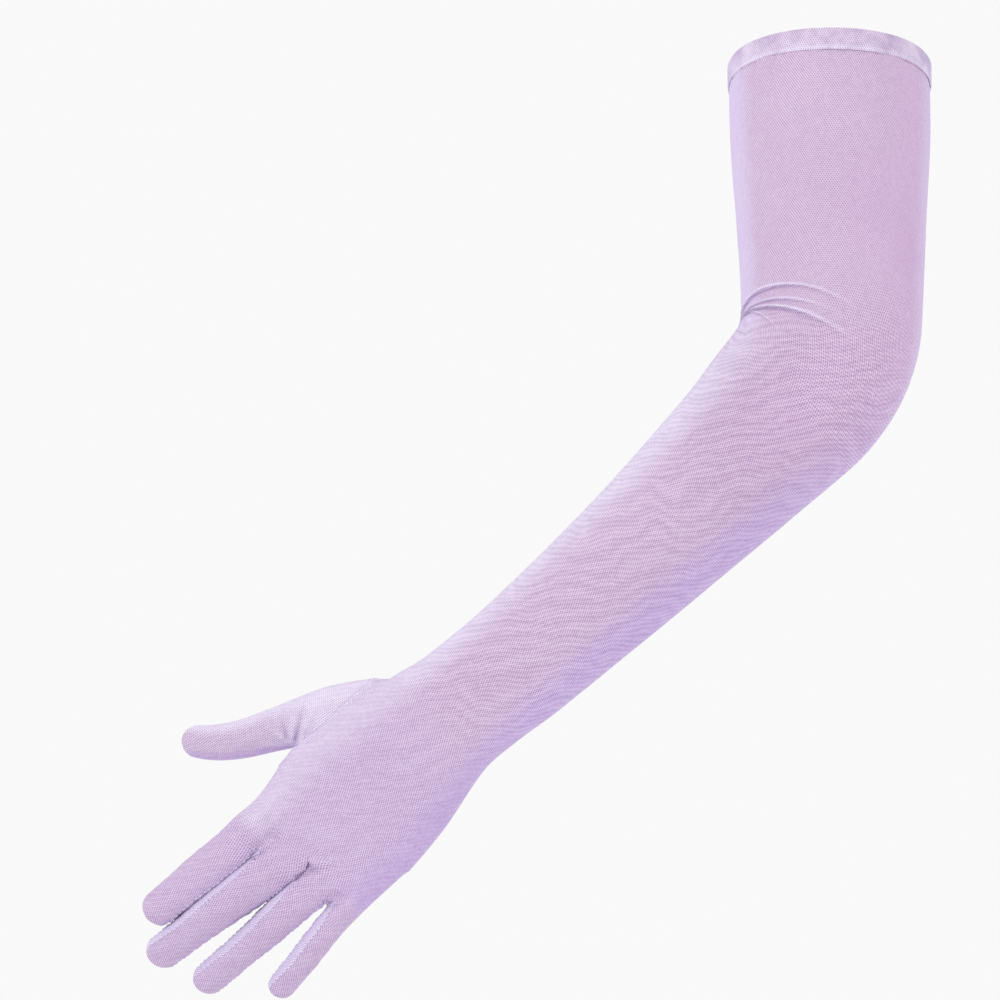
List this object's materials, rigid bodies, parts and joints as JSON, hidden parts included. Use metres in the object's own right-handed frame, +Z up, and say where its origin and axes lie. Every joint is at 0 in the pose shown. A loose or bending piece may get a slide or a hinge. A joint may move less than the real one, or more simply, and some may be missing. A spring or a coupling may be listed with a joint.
{
  "type": "tulle glove",
  "caption": "Opera-length stretch tulle glove for the left hand, in the shape it takes on a bent arm, open at the hemmed top and hollow to the fingertips.",
  "frame": {"origin": "centre of the mouth, where the arm goes in", "axes": "+X to the elbow's side as worn, +Y away from the back of the hand, +Z up along the worn arm"},
  "size_m": [0.3642, 0.1469, 0.4462],
  "materials": {
    "tulle": "fine lilac stretch net with a soft sheen",
    "fourchette_tulle": "the same net, cut across its stretch and stitched at both edges",
    "hem_tulle": "two layers of the net, turned and stitched"
  },
  "bodies": {
    "root": {"back_panel": "tulle", "palm_panel": "tulle", "thumb_piece": "tulle", "fourchette_index_middle": "fourchette_tulle", "fourchette_middle_ring": "fourchette_tulle", "fourchette_ring_little": "fourchette_tulle", "hem_band": "hem_tulle"}
  },
  "joints": []
}
